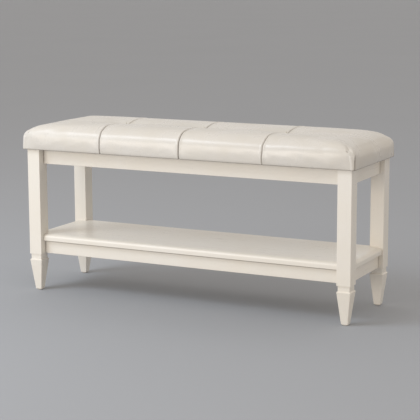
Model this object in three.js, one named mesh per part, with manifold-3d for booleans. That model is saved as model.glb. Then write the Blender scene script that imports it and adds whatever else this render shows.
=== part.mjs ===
// Piano bench: an upholstered seat on a painted frame with four legs and a lower shelf.
// Millimetres, +Z up, +X to the right along the length, front at -Y.
// The origin is on the floor under the middle of the bench.
import * as THREE from "three";
import { mergeVertices } from "three/addons/utils/BufferGeometryUtils.js";
import Module from "manifold-3d";

const wasm = await Module();
wasm.setup();

// ---- Driving dimensions ----
const FIT = 0.3; // gap kept between pieces that touch
const EDGE_RADIUS = 1.5; // eased edges of all painted wood

// Frame
const FRAME_LENGTH = 1050; // over the outer faces of the legs
const FRAME_DEPTH = 304;
const LEG_TOP = 438; // top of the legs and aprons

// Legs: a square shaft, a narrower neck and a tapered foot
const LEG_SIDE = 42;
const NECK_SIDE = 36;
const FOOT_SIDE = 20;
const SHOULDER_HEIGHT = 114; // underside of the shaft
const FOOT_HEIGHT = 95.5; // widest point of the foot
const FOOT_CHAMFER = 3;

// Nail-in glides
const GLIDE_HEIGHT = 3;
const GLIDE_RADIUS = 8.5;
const GLIDE_RIM = 0.8;
const NAIL_RADIUS = 1.1;
const NAIL_LENGTH = 14;

// Aprons under the seat and rails under the shelf
const APRON_HEIGHT = 46;
const RAIL_HEIGHT = 39.5;
const RAIL_BOTTOM = 115.5;
const RAIL_THICKNESS = 18;
const END_SETBACK = 14.5; // from the legs' end faces to the end rails

// Mortise and tenon joints, long rails below and end rails above in each leg
const TENON_THICKNESS = 8;
const TENON_LENGTH = 22;
const TENON_MARGIN = 6; // from a rail's edge
const TENON_SPACE = 3; // between the two mortises that cross in a leg

// Shelf with a thumbnail edge, notched round the legs
const SHELF_THICKNESS = 21;
const SHELF_FRONT_SETBACK = 12.5; // from the legs' front faces to the nose
const SHELF_END_SETBACK = 4.2;
const NOSE_WIDTH = 17;
const NOSE_HEIGHT = 10;
const NOSE_UNDER_RADIUS = 2;
const NOTCH_CLEARANCE = 0.6;
const CLEAT_SIDE = 18;
const CLEAT_END_GAP = 30;

// Corner blocks and cross rails under the seat
const BLOCK_ARM = 60;
const BLOCK_END = 14; // width of a block's square-cut ends
const BLOCK_HEIGHT = 34;
const CROSS_RAIL_WIDTH = 40;
const CROSS_RAIL_HEIGHT = 20;
const CROSS_RAIL_TENON = 8;
const CROSS_RAIL_SHOULDER = 6;
const CROSS_RAIL_SPACING = 264; // between the middles of the two cross rails

// Seat
const SEAT_OVERHANG_END = 8; // past the legs, at the bottom edge
const SEAT_OVERHANG_FRONT = 10;
const SEAT_HEIGHT = 82;
const SEAT_DIP = 4; // how far the middle lies below the rolled edge
const SEAT_BULGE = 6;
const SEAT_CORNER_RADIUS = 14;
const ROLL_FRONT = 55; // width of the rounding along the front and back
const ROLL_END = 110;
const COVER_THICKNESS = 1.2;
const COVER_TURN_UNDER = 25;
const BOARD_THICKNESS = 12;
const DUST_COVER_THICKNESS = 0.6;
const DUST_COVER_MARGIN = 4; // inside the turned-under edge of the cover

// Blind tufts: a cord from each crossing of the seams to a washer under the board
const TUFT_SPACING = 264;
const TUFT_CORD_RADIUS = 1.2;
const TUFT_HOLE_RADIUS = 2.5;
const WASHER_RADIUS = 10;
const WASHER_THICKNESS = 1.6;

// Screws
const SHANK_RADIUS = 2;
const HEAD_RADIUS = 4;
const HEAD_HEIGHT = 2.6;
const TIP_LENGTH = 5;
const SCREW_CLEARANCE = 0.3;
const BLOCK_SCREW_LENGTH = 40;
const SEAT_SCREW_LENGTH = 34;
const CROSS_RAIL_SCREW_LENGTH = 25;
const CLEAT_SCREW_LENGTH = 30;
const SCREW_BITE = 9; // depth of a screw in the last piece it enters
const ARM_SCREW_INSET = 42; // along a corner block's arm, from the corner
const DIAGONAL_SCREW_INSET = 24; // in both directions, from the corner
const BLOCK_POCKET = 40; // depth of a driver pocket, long enough to open at the surface
const CLEAT_POCKET = 10;

// ---- Derived places ----
const halfLength = FRAME_LENGTH / 2;
const halfDepth = FRAME_DEPTH / 2;
const legX = halfLength - LEG_SIDE / 2;
const legY = halfDepth - LEG_SIDE / 2;
const innerY = halfDepth - LEG_SIDE; // inner faces of the long rails, flush with the legs
const longRailY = innerY + RAIL_THICKNESS / 2;
const endRailX = halfLength - END_SETBACK - RAIL_THICKNESS / 2;
const endRailInnerX = endRailX - RAIL_THICKNESS / 2;
const longSpan = FRAME_LENGTH - 2 * LEG_SIDE - 2 * FIT;
const endSpan = FRAME_DEPTH - 2 * LEG_SIDE - 2 * FIT;
const apronBottom = LEG_TOP - APRON_HEIGHT;
const railTop = RAIL_BOTTOM + RAIL_HEIGHT;
const shelfBottom = railTop + FIT;
const shelfLength = FRAME_LENGTH - 2 * SHELF_END_SETBACK;
const shelfDepth = FRAME_DEPTH - 2 * SHELF_FRONT_SETBACK;
const seatBottom = LEG_TOP + FIT;
const boardBottom = seatBottom + COVER_THICKNESS + FIT;
const boardTop = boardBottom + BOARD_THICKNESS;
const seatHalfLength = halfLength + SEAT_OVERHANG_END;
const seatHalfDepth = halfDepth + SEAT_OVERHANG_FRONT;
const cleatY = innerY - FIT - CLEAT_SIDE / 2;
const cleatLength = longSpan - 2 * CLEAT_END_GAP;
const CORNERS = [
  ["front_left", -1, -1],
  ["front_right", 1, -1],
  ["back_left", -1, 1],
  ["back_right", 1, 1],
];
const ENDS = [
  ["left", -1],
  ["right", 1],
];
const SIDES = [
  ["front", -1],
  ["back", 1],
];

// ---- Materials ----
const finish = (color, roughness, metalness = 0) =>
  new THREE.MeshStandardMaterial({ color, roughness, metalness });
const PAINT = finish(0xece5da, 0.42);
const LEATHER = finish(0xe6e0d6, 0.5);
const RAW_WOOD = finish(0xd9bf95, 0.75);
const PLYWOOD = finish(0xcdae7f, 0.8);
const FOAM = finish(0xf0e6c0, 0.95);
const CAMBRIC = finish(0x2a2928, 0.95);
const NYLON = finish(0xd8d4cb, 0.5);
const STEEL = finish(0xb9a56b, 0.35, 0.9);
const THREAD = finish(0xe9e4d8, 0.8);

// ---- Solids ----
function toSolid(geometry) {
  const bare = geometry.clone();
  bare.deleteAttribute("normal");
  bare.deleteAttribute("uv");
  const merged = mergeVertices(bare, 1e-3);
  return new wasm.Manifold(
    new wasm.Mesh({
      numProp: 3,
      vertProperties: merged.attributes.position.array,
      triVerts: new Uint32Array(merged.index.array),
    }),
  );
}

function toGeometry(solid) {
  const mesh = solid.getMesh();
  const geometry = new THREE.BufferGeometry();
  geometry.setAttribute("position", new THREE.BufferAttribute(mesh.vertProperties, 3));
  geometry.setIndex(new THREE.BufferAttribute(mesh.triVerts, 1));
  geometry.computeVertexNormals();
  return geometry;
}

function combine(operation, base, tools) {
  const result = tools.reduce((solid, tool) => solid[operation](toSolid(tool)), toSolid(base));
  return toGeometry(result);
}

const cut = (base, ...tools) => combine("subtract", base, tools);
const join = (base, ...others) => combine("add", base, others);
const common = (base, ...others) => combine("intersect", base, others);

function block(sizeX, sizeY, sizeZ, x, y, bottom) {
  return new THREE.BoxGeometry(sizeX, sizeY, sizeZ).translate(x, y, bottom + sizeZ / 2);
}

// Extrusions of a shape, centred on the origin in the direction they run.
function extrude(shape, length, curveSegments = 3) {
  const options = { depth: length, bevelEnabled: false, curveSegments };
  return new THREE.ExtrudeGeometry(shape, options).translate(0, 0, -length / 2);
}

function alongX(shape, length, curveSegments) {
  const turn = new THREE.Matrix4().makeBasis(
    new THREE.Vector3(0, 1, 0),
    new THREE.Vector3(0, 0, 1),
    new THREE.Vector3(1, 0, 0),
  );
  return extrude(shape, length, curveSegments).applyMatrix4(turn);
}

function alongY(shape, length, curveSegments) {
  return extrude(shape, length, curveSegments).rotateX(Math.PI / 2);
}

function roundedRectangle(width, height, radius) {
  const w = width / 2;
  const h = height / 2;
  const shape = new THREE.Shape();
  shape.absarc(w - radius, -h + radius, radius, -Math.PI / 2, 0);
  shape.absarc(w - radius, h - radius, radius, 0, Math.PI / 2);
  shape.absarc(-w + radius, h - radius, radius, Math.PI / 2, Math.PI);
  shape.absarc(-w + radius, -h + radius, radius, Math.PI, 1.5 * Math.PI);
  return shape;
}

function turned(profile, segments = 12) {
  const points = profile.map(([radius, height]) => new THREE.Vector2(radius, height));
  return new THREE.LatheGeometry(points, segments).rotateX(Math.PI / 2);
}

// A loft through square rings with rounded corners, one ring for each [side, height].
function squareLoft(levels, radius, arcSteps = 3) {
  const positions = [];
  const indices = [];
  const count = 4 * (arcSteps + 1);
  for (const [side, height] of levels) {
    for (let i = 0; i < count; i++) {
      const corner = Math.floor(i / (arcSteps + 1));
      const angle = (corner + (i % (arcSteps + 1)) / arcSteps) * (Math.PI / 2);
      const middle = (corner + 0.5) * (Math.PI / 2);
      const reach = (side / 2 - radius) * Math.SQRT2;
      positions.push(
        reach * Math.cos(middle) + radius * Math.cos(angle),
        reach * Math.sin(middle) + radius * Math.sin(angle),
        height,
      );
    }
  }
  for (let k = 0; k < levels.length - 1; k++) {
    for (let i = 0; i < count; i++) {
      const a = k * count + i;
      const b = k * count + ((i + 1) % count);
      indices.push(a, b, b + count, a, b + count, a + count);
    }
  }
  const top = (levels.length - 1) * count;
  for (let i = 1; i < count - 1; i++) {
    indices.push(0, i + 1, i, top, top + i, top + i + 1);
  }
  const geometry = new THREE.BufferGeometry();
  geometry.setAttribute("position", new THREE.Float32BufferAttribute(positions, 3));
  geometry.setIndex(indices);
  return geometry;
}

// ---- Screws: the head's flat face is at the origin and the tip points up ----
function screwShape(length) {
  return turned([
    [0, 0],
    [HEAD_RADIUS, 0],
    [SHANK_RADIUS, HEAD_HEIGHT],
    [SHANK_RADIUS, length - TIP_LENGTH],
    [0, length],
  ]);
}

// The clearance hole of a screw, with a straight pocket below the head for the driver.
function screwHole(length, pocket) {
  const head = HEAD_RADIUS + SCREW_CLEARANCE;
  const shank = SHANK_RADIUS + SCREW_CLEARANCE;
  return turned([
    [0, -pocket],
    [head, -pocket],
    [head, 0],
    [shank, HEAD_HEIGHT],
    [shank, length - TIP_LENGTH],
    [0, length + SCREW_CLEARANCE],
  ]);
}

const screws = [];
function addScrew(name, length, x, y, z, directionX, directionY, directionZ, pocket) {
  const up = new THREE.Vector3(0, 0, 1);
  const direction = new THREE.Vector3(directionX, directionY, directionZ);
  const turn = new THREE.Quaternion().setFromUnitVectors(up, direction);
  const hole = screwHole(length, pocket);
  hole.applyQuaternion(turn).translate(x, y, z);
  hole.computeBoundingBox();
  screws.push({ name, length, turn, position: new THREE.Vector3(x, y, z), hole });
}

// Cuts the clearance hole of every screw that reaches the piece.
function drilled(geometry) {
  geometry.computeBoundingBox();
  const reached = screws.filter(({ hole }) => hole.boundingBox.intersectsBox(geometry.boundingBox));
  return reached.length ? cut(geometry, ...reached.map(({ hole }) => hole)) : geometry;
}

// ---- Rails ----
function tenonSpan(bottom, height, isUpper) {
  const middle = bottom + height / 2;
  return isUpper
    ? [middle + TENON_SPACE / 2, bottom + height - TENON_MARGIN]
    : [bottom + TENON_MARGIN, middle - TENON_SPACE / 2];
}

function longRail(side, bottom, height) {
  const section = roundedRectangle(RAIL_THICKNESS, height, EDGE_RADIUS);
  const body = alongX(section, longSpan).translate(0, side * longRailY, bottom + height / 2);
  const [low, high] = tenonSpan(bottom, height, false);
  const tenonLength = longSpan + 2 * TENON_LENGTH;
  return join(body, block(tenonLength, TENON_THICKNESS, high - low, 0, side * longRailY, low));
}

function endRail(end, bottom, height) {
  const section = roundedRectangle(RAIL_THICKNESS, height, EDGE_RADIUS);
  const body = alongY(section, endSpan).translate(end * endRailX, 0, bottom + height / 2);
  const [low, high] = tenonSpan(bottom, height, true);
  const tenonLength = endSpan + 2 * TENON_LENGTH;
  return join(body, block(TENON_THICKNESS, tenonLength, high - low, end * endRailX, 0, low));
}

// ---- Legs ----
function leg(x, y) {
  const body = squareLoft(
    [
      [FOOT_SIDE, GLIDE_HEIGHT + FIT],
      [LEG_SIDE, FOOT_HEIGHT],
      [NECK_SIDE, FOOT_HEIGHT + FOOT_CHAMFER],
      [NECK_SIDE, SHOULDER_HEIGHT],
      [LEG_SIDE, SHOULDER_HEIGHT],
      [LEG_SIDE, LEG_TOP],
    ],
    EDGE_RADIUS,
  ).translate(x * legX, y * legY, 0);
  const mortise = TENON_THICKNESS + 2 * FIT;
  const reach = 2 * (TENON_LENGTH + FIT);
  const mortises = [
    [RAIL_BOTTOM, RAIL_HEIGHT],
    [apronBottom, APRON_HEIGHT],
  ].flatMap(([bottom, height]) => {
    const [longLow, longHigh] = tenonSpan(bottom, height, false);
    const [endLow, endHigh] = tenonSpan(bottom, height, true);
    const longTall = longHigh - longLow + 2 * FIT;
    const endTall = endHigh - endLow + 2 * FIT;
    const innerX = x * (halfLength - LEG_SIDE);
    return [
      block(reach, mortise, longTall, innerX, y * longRailY, longLow - FIT),
      block(mortise, reach, endTall, x * endRailX, y * innerY, endLow - FIT),
    ];
  });
  const nailDepth = NAIL_LENGTH + 2 * FIT;
  const nailHole = turned([
    [0, 0],
    [NAIL_RADIUS + FIT, 0],
    [NAIL_RADIUS + FIT, GLIDE_HEIGHT + nailDepth],
    [0, GLIDE_HEIGHT + nailDepth],
  ]).translate(x * legX, y * legY, 0);
  return cut(body, ...mortises, nailHole);
}

function glide() {
  return turned(
    [
      [0, 0],
      [GLIDE_RADIUS - GLIDE_RIM, 0],
      [GLIDE_RADIUS, GLIDE_RIM],
      [GLIDE_RADIUS, GLIDE_HEIGHT],
      [NAIL_RADIUS, GLIDE_HEIGHT],
      [NAIL_RADIUS, GLIDE_HEIGHT + NAIL_LENGTH - 2 * NAIL_RADIUS],
      [0, GLIDE_HEIGHT + NAIL_LENGTH],
    ],
    20,
  );
}

// ---- Shelf ----
// A board's cross-section with a thumbnail-moulded nose on both edges.
function nosedSection(width, thickness) {
  const w = width / 2;
  const under = NOSE_UNDER_RADIUS;
  const shape = new THREE.Shape();
  shape.moveTo(-w + under, 0);
  shape.lineTo(w - under, 0);
  shape.absarc(w - under, under, under, -Math.PI / 2, 0);
  shape.absellipse(w - NOSE_WIDTH, thickness - NOSE_HEIGHT, NOSE_WIDTH, NOSE_HEIGHT, 0, Math.PI / 2);
  shape.absellipse(
    -w + NOSE_WIDTH,
    thickness - NOSE_HEIGHT,
    NOSE_WIDTH,
    NOSE_HEIGHT,
    Math.PI / 2,
    Math.PI,
  );
  shape.absarc(-w + under, under, under, Math.PI, 1.5 * Math.PI);
  return shape;
}

function shelf() {
  const board = common(
    alongX(nosedSection(shelfDepth, SHELF_THICKNESS), shelfLength, 6),
    alongY(nosedSection(shelfLength, SHELF_THICKNESS), shelfDepth, 6),
  ).translate(0, 0, shelfBottom);
  const notchSide = LEG_SIDE + 2 * NOTCH_CLEARANCE;
  const notches = CORNERS.map(([, x, y]) =>
    block(notchSide, notchSide, 3 * SHELF_THICKNESS, x * legX, y * legY, shelfBottom - SHELF_THICKNESS),
  );
  return cut(board, ...notches);
}

function shelfCleat(side) {
  const section = roundedRectangle(CLEAT_SIDE, CLEAT_SIDE, EDGE_RADIUS);
  return alongX(section, cleatLength).translate(0, side * cleatY, railTop - CLEAT_SIDE / 2);
}

// ---- Under the seat ----
function cornerBlock(x, y) {
  const cornerX = endRailInnerX - FIT;
  const cornerY = innerY - FIT;
  const outline = [
    [0, 0],
    [BLOCK_ARM, 0],
    [BLOCK_ARM, BLOCK_END],
    [BLOCK_END, BLOCK_ARM],
    [0, BLOCK_ARM],
  ].map(([inX, inY]) => new THREE.Vector2(x * (cornerX - inX), y * (cornerY - inY)));
  const shape = new THREE.Shape(outline);
  return extrude(shape, BLOCK_HEIGHT).translate(0, 0, LEG_TOP - BLOCK_HEIGHT / 2);
}

function crossRailX(end) {
  return (end * CROSS_RAIL_SPACING) / 2;
}

function crossRailTenon(end, growth) {
  const width = CROSS_RAIL_WIDTH - 2 * CROSS_RAIL_SHOULDER + 2 * growth;
  const length = 2 * (innerY + CROSS_RAIL_TENON + growth);
  const height = CROSS_RAIL_HEIGHT - 2 * CROSS_RAIL_SHOULDER + 2 * growth;
  const bottom = LEG_TOP - CROSS_RAIL_HEIGHT + CROSS_RAIL_SHOULDER - growth;
  return block(width, length, height, crossRailX(end), 0, bottom);
}

function crossRail(end) {
  const section = roundedRectangle(CROSS_RAIL_WIDTH, CROSS_RAIL_HEIGHT, EDGE_RADIUS);
  const middle = LEG_TOP - CROSS_RAIL_HEIGHT / 2;
  const body = alongY(section, 2 * (innerY - FIT)).translate(crossRailX(end), 0, middle);
  return join(body, crossRailTenon(end, 0));
}

function longApron(side) {
  const rail = longRail(side, apronBottom, APRON_HEIGHT);
  return cut(rail, ...ENDS.map(([, end]) => crossRailTenon(end, FIT)));
}

// ---- Seat ----
// Half the outline runs up the bulging side and over the rolled edge to the middle.
function seatSection(halfWidth, roll, inset) {
  const w = halfWidth - inset;
  const top = SEAT_HEIGHT - inset;
  const widest = w + SEAT_BULGE;
  const bulgeHeight = 0.45 * top;
  const shape = new THREE.Shape();
  shape.moveTo(-w, 0);
  shape.lineTo(w, 0);
  shape.bezierCurveTo(w + 0.8 * SEAT_BULGE, 0.1 * top, widest, 0.3 * top, widest, bulgeHeight);
  shape.bezierCurveTo(widest, 0.8 * top, w - 0.35 * roll, top, w - roll, top);
  shape.quadraticCurveTo(0.5 * (w - roll), top - SEAT_DIP, 0, top - SEAT_DIP);
  shape.quadraticCurveTo(-0.5 * (w - roll), top - SEAT_DIP, -w + roll, top);
  shape.bezierCurveTo(-w + 0.35 * roll, top, -widest, 0.8 * top, -widest, bulgeHeight);
  shape.bezierCurveTo(-widest, 0.3 * top, -w - 0.8 * SEAT_BULGE, 0.1 * top, -w, 0);
  return shape;
}

// The cushion's outer form, or the form that lies an inset inside it.
function seatForm(inset) {
  const length = 2 * (seatHalfLength + SEAT_BULGE - inset);
  const depth = 2 * (seatHalfDepth + SEAT_BULGE - inset);
  const plan = roundedRectangle(length, depth, SEAT_CORNER_RADIUS - inset);
  return common(
    alongX(seatSection(seatHalfDepth, ROLL_FRONT, inset), length, 6),
    alongY(seatSection(seatHalfLength, ROLL_END, inset), depth, 6),
    extrude(plan, SEAT_HEIGHT, 6).translate(0, 0, SEAT_HEIGHT / 2),
  ).translate(0, 0, seatBottom);
}

const boardRoom = COVER_THICKNESS + 2 * FIT;
const underOpeningLength = 2 * (seatHalfLength - COVER_TURN_UNDER);
const underOpeningDepth = 2 * (seatHalfDepth - COVER_TURN_UNDER);

// A shell round the foam and board, turned under the board and open in the middle below.
function seatCover() {
  const wide = 3 * seatHalfLength;
  const turnedUnder = block(wide, wide, 2 * SEAT_HEIGHT, 0, 0, boardBottom - FIT);
  const inside = common(seatForm(COVER_THICKNESS), turnedUnder);
  const openingHeight = BOARD_THICKNESS;
  const openingBottom = boardBottom - openingHeight;
  const opening = block(underOpeningLength, underOpeningDepth, openingHeight, 0, 0, openingBottom);
  return cut(seatForm(0), inside, opening);
}

const tuftPlaces = [-TUFT_SPACING, 0, TUFT_SPACING];

function tuftHole(x, radius, bottom, top) {
  return turned([
    [0, bottom],
    [radius, bottom],
    [radius, top],
    [0, top],
  ]).translate(x, 0, 0);
}

function seatBoard() {
  const length = 2 * (seatHalfLength - boardRoom);
  const depth = 2 * (seatHalfDepth - boardRoom);
  const plan = roundedRectangle(length, depth, SEAT_CORNER_RADIUS);
  const board = extrude(plan, BOARD_THICKNESS, 6).translate(0, 0, boardBottom + BOARD_THICKNESS / 2);
  const recess = boardBottom + WASHER_THICKNESS + 2 * FIT;
  const holes = tuftPlaces.flatMap((x) => [
    tuftHole(x, TUFT_HOLE_RADIUS, boardBottom - 1, boardTop + 1),
    tuftHole(x, WASHER_RADIUS + 2 * FIT, boardBottom - 1, recess),
  ]);
  return cut(board, ...holes);
}

function seatFoam() {
  const low = boardTop + FIT;
  const above = block(3 * seatHalfLength, 3 * seatHalfDepth, 2 * SEAT_HEIGHT, 0, 0, low);
  const form = common(seatForm(COVER_THICKNESS + FIT), above);
  const top = seatBottom + SEAT_HEIGHT;
  return cut(form, ...tuftPlaces.map((x) => tuftHole(x, TUFT_CORD_RADIUS + FIT, low - 1, top + 1)));
}

function dustCover() {
  const length = underOpeningLength - 2 * DUST_COVER_MARGIN;
  const depth = underOpeningDepth - 2 * DUST_COVER_MARGIN;
  const plan = roundedRectangle(length, depth, SEAT_CORNER_RADIUS - DUST_COVER_MARGIN);
  const middle = seatBottom + (boardBottom - seatBottom) / 2;
  return extrude(plan, DUST_COVER_THICKNESS).translate(0, 0, middle);
}

const washerBottom = boardBottom + FIT;
const cordTop = seatBottom + SEAT_HEIGHT - SEAT_DIP - COVER_THICKNESS - FIT;

// The cord runs from the washer's bore up to the underside of the cover.
function tuftCord() {
  return turned([
    [0, washerBottom],
    [TUFT_CORD_RADIUS, washerBottom],
    [TUFT_CORD_RADIUS, cordTop],
    [0, cordTop],
  ]);
}

function tuftWasher() {
  const bore = TUFT_CORD_RADIUS + FIT;
  return turned([
    [bore, 0],
    [WASHER_RADIUS, 0],
    [WASHER_RADIUS, WASHER_THICKNESS],
    [bore, WASHER_THICKNESS],
    [bore, 0],
  ], 20);
}

// ---- Where the screws go ----
function placeScrews() {
  const blockMiddle = LEG_TOP - BLOCK_HEIGHT / 2;
  for (const [corner, x, y] of CORNERS) {
    const cornerX = endRailInnerX - FIT;
    const cornerY = innerY - FIT;
    const headDepth = BLOCK_SCREW_LENGTH - SCREW_BITE - FIT;
    addScrew(
      `block_screw_${corner}_a`, BLOCK_SCREW_LENGTH,
      x * (cornerX - ARM_SCREW_INSET), y * (cornerY - headDepth), blockMiddle, 0, y, 0, BLOCK_POCKET,
    );
    addScrew(
      `block_screw_${corner}_b`, BLOCK_SCREW_LENGTH,
      x * (cornerX - headDepth), y * (cornerY - ARM_SCREW_INSET), blockMiddle, x, 0, 0, BLOCK_POCKET,
    );
    addScrew(
      `seat_screw_${corner}`, SEAT_SCREW_LENGTH,
      x * (cornerX - DIAGONAL_SCREW_INSET), y * (cornerY - DIAGONAL_SCREW_INSET),
      boardBottom + SCREW_BITE - SEAT_SCREW_LENGTH, 0, 0, 1, BLOCK_POCKET,
    );
  }
  for (const [end, x] of ENDS) {
    addScrew(
      `cross_rail_screw_${end}`, CROSS_RAIL_SCREW_LENGTH,
      crossRailX(x), 0, boardBottom + SCREW_BITE - CROSS_RAIL_SCREW_LENGTH, 0, 0, 1, BLOCK_POCKET,
    );
  }
  for (const [side, y] of SIDES) {
    for (const [end, x] of ENDS) {
      addScrew(
        `cleat_screw_${side}_${end}`, CLEAT_SCREW_LENGTH,
        x * (cleatLength / 2 - 2 * CLEAT_SIDE), y * (innerY + SCREW_BITE - CLEAT_SCREW_LENGTH),
        railTop - CLEAT_SIDE / 2, 0, y, 0, CLEAT_POCKET,
      );
      addScrew(
        `shelf_screw_${side}_${end}`, CLEAT_SCREW_LENGTH,
        (x * cleatLength) / 4, y * cleatY, shelfBottom + SCREW_BITE - CLEAT_SCREW_LENGTH,
        0, 0, 1, CLEAT_POCKET,
      );
    }
  }
}

// ---- The bench ----
const bench = new THREE.Group();
function add(parent, name, geometry, material) {
  const mesh = new THREE.Mesh(geometry, material);
  mesh.name = name;
  parent.add(mesh);
  return mesh;
}

placeScrews();

const frame = new THREE.Group();
for (const [corner, x, y] of CORNERS) {
  add(frame, `leg_${corner}`, leg(x, y), PAINT);
  add(frame, `glide_${corner}`, glide(), NYLON).position.set(x * legX, y * legY, 0);
  add(frame, `corner_block_${corner}`, drilled(cornerBlock(x, y)), RAW_WOOD);
}
for (const [side, y] of SIDES) {
  add(frame, `apron_${side}`, drilled(longApron(y)), PAINT);
  add(frame, `lower_rail_${side}`, drilled(longRail(y, RAIL_BOTTOM, RAIL_HEIGHT)), PAINT);
  add(frame, `shelf_cleat_${side}`, drilled(shelfCleat(y)), RAW_WOOD);
}
for (const [end, x] of ENDS) {
  add(frame, `apron_${end}`, drilled(endRail(x, apronBottom, APRON_HEIGHT)), PAINT);
  add(frame, `lower_rail_${end}`, endRail(x, RAIL_BOTTOM, RAIL_HEIGHT), PAINT);
  add(frame, `seat_cross_rail_${end}`, drilled(crossRail(x)), RAW_WOOD);
}
add(frame, "shelf_panel", drilled(shelf()), PAINT);
bench.add(frame);

const seat = new THREE.Group();
add(seat, "seat_board", drilled(seatBoard()), PLYWOOD);
add(seat, "seat_foam", seatFoam(), FOAM);
add(seat, "seat_cover", seatCover(), LEATHER);
add(seat, "dust_cover", drilled(dustCover()), CAMBRIC);
tuftPlaces.forEach((x, i) => {
  add(seat, `tuft_cord_${i + 1}`, tuftCord(), THREAD).position.x = x;
  add(seat, `tuft_washer_${i + 1}`, tuftWasher(), STEEL).position.set(x, 0, washerBottom);
});
bench.add(seat);

for (const { name, length, turn, position } of screws) {
  const mesh = add(bench, name, screwShape(length), STEEL);
  mesh.quaternion.copy(turn);
  mesh.position.copy(position);
}

export default bench;
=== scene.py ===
import math

import bmesh
import bpy
import numpy as np
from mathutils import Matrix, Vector


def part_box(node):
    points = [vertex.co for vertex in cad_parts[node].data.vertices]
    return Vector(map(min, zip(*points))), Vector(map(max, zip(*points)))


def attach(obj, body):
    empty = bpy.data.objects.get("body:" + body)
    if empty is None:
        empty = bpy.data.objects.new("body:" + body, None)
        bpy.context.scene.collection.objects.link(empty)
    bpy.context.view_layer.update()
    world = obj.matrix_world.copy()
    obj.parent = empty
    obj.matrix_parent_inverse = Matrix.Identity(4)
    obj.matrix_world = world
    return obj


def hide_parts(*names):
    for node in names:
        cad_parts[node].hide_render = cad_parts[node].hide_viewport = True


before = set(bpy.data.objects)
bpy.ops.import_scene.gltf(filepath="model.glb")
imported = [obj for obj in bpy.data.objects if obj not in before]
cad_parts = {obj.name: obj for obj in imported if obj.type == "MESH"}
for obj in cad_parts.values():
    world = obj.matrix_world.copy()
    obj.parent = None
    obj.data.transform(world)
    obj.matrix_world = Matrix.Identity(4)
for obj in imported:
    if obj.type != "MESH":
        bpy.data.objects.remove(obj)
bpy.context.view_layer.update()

bl_info = {
    "name": "Piano bench",
    "version": (1, 0, 0),
    "blender": (4, 5, 0),
    "location": "View3D > Sidebar > Bench",
    "description": "Tufted leather seat, painted frame finishes and studio stage for a piano bench",
    "category": "Object",
}

# ---- Places taken from the frame, in metres ----
COVER_LOW, COVER_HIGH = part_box("seat_cover")
DUST_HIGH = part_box("dust_cover")[1]
BOARD_LOW, BOARD_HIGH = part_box("seat_board")
SEAT_BOTTOM = COVER_LOW.z
SEAT_HALF_LENGTH = (COVER_HIGH.x - COVER_LOW.x) / 2
SEAT_HALF_DEPTH = (COVER_HIGH.y - COVER_LOW.y) / 2
SEAT_HEIGHT = COVER_HIGH.z - COVER_LOW.z
TUFT_X = [sum(corner.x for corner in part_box(f"tuft_cord_{i}")) / 2 for i in (1, 2, 3)]
LEG_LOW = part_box("leg_back_right")[0]
RAIL_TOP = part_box("lower_rail_front")[1].z


# ---- Settings a user would change ----
class BenchSeatSettings(bpy.types.PropertyGroup):
    roll_front: bpy.props.FloatProperty(
        name="Front roll", description="Width of the rounding along the front and back",
        default=0.064, unit="LENGTH")
    roll_end: bpy.props.FloatProperty(
        name="End roll", description="Width of the softer rounding at the two ends",
        default=0.100, unit="LENGTH")
    seam_height: bpy.props.FloatProperty(
        name="Seam height", description="Height of the cross seams above the seat's underside",
        default=0.0755, unit="LENGTH")
    puff: bpy.props.FloatProperty(
        name="Puff", description="How far the panels swell past the seams",
        default=0.0055, unit="LENGTH")
    tuft_depth: bpy.props.FloatProperty(
        name="Tuft depth", description="How far each seam crossing is pulled down",
        default=0.0085, unit="LENGTH")
    seam_depth: bpy.props.FloatProperty(
        name="Seam groove", description="Depth of the groove at a cross seam",
        default=0.0028, unit="LENGTH")
    slack: bpy.props.FloatProperty(
        name="Slack", description="Extra leather in each panel, which gathers at the seams",
        default=0.006, subtype="FACTOR", min=0, max=0.1)


class BenchFinishSettings(bpy.types.PropertyGroup):
    paint: bpy.props.FloatVectorProperty(
        name="Paint", description="Ivory satin paint", subtype="COLOR", size=3,
        default=(0.870, 0.832, 0.772))
    leather: bpy.props.FloatVectorProperty(
        name="Leather", description="Ivory seat leather", subtype="COLOR", size=3,
        default=(0.745, 0.712, 0.668))
    timber: bpy.props.FloatVectorProperty(
        name="Timber", description="Unfinished beech of the hidden parts", subtype="COLOR", size=3,
        default=(0.62, 0.43, 0.25))


class BenchStageSettings(bpy.types.PropertyGroup):
    floor: bpy.props.FloatVectorProperty(
        name="Floor", description="Plain pale floor", subtype="COLOR", size=3,
        default=(0.415, 0.43, 0.46))
    room_light: bpy.props.FloatProperty(
        name="Room light", description="Strength of the even light from all round", default=0.70)
    front_power: bpy.props.FloatProperty(
        name="Front light", description="Power of the low wide softbox in front",
        default=62, unit="POWER")
    side_power: bpy.props.FloatProperty(
        name="Side light", description="Power of the softbox close by on the left",
        default=13, unit="POWER")
    warm_power: bpy.props.FloatProperty(
        name="Warm light", description="Power of the warm fill on the right",
        default=4, unit="POWER")
    over_power: bpy.props.FloatProperty(
        name="Over light", description="Power of the steep softbox that draws the seat's highlight",
        default=36, unit="POWER")
    lens: bpy.props.FloatProperty(
        name="Lens", description="Focal length of the camera, in millimetres", default=121.0)


# ---- Small helpers ----
def deselect_all():
    if bpy.context.object and bpy.context.object.mode != "OBJECT":
        bpy.ops.object.mode_set(mode="OBJECT")
    bpy.ops.object.select_all(action="DESELECT")


def activate(piece):
    deselect_all()
    piece.select_set(True)
    bpy.context.view_layer.objects.active = piece


def apply_place(piece):
    activate(piece)
    bpy.ops.object.transform_apply(location=True, rotation=True, scale=True)


def add_box(name, low, high):
    """A box primitive between two corners, with its place in its mesh."""
    deselect_all()
    low, high = Vector(low), Vector(high)
    bpy.ops.mesh.primitive_cube_add(size=1, location=(low + high) / 2)
    piece = bpy.context.object
    piece.name = piece.data.name = name
    piece.scale = high - low
    apply_place(piece)
    return piece


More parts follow.
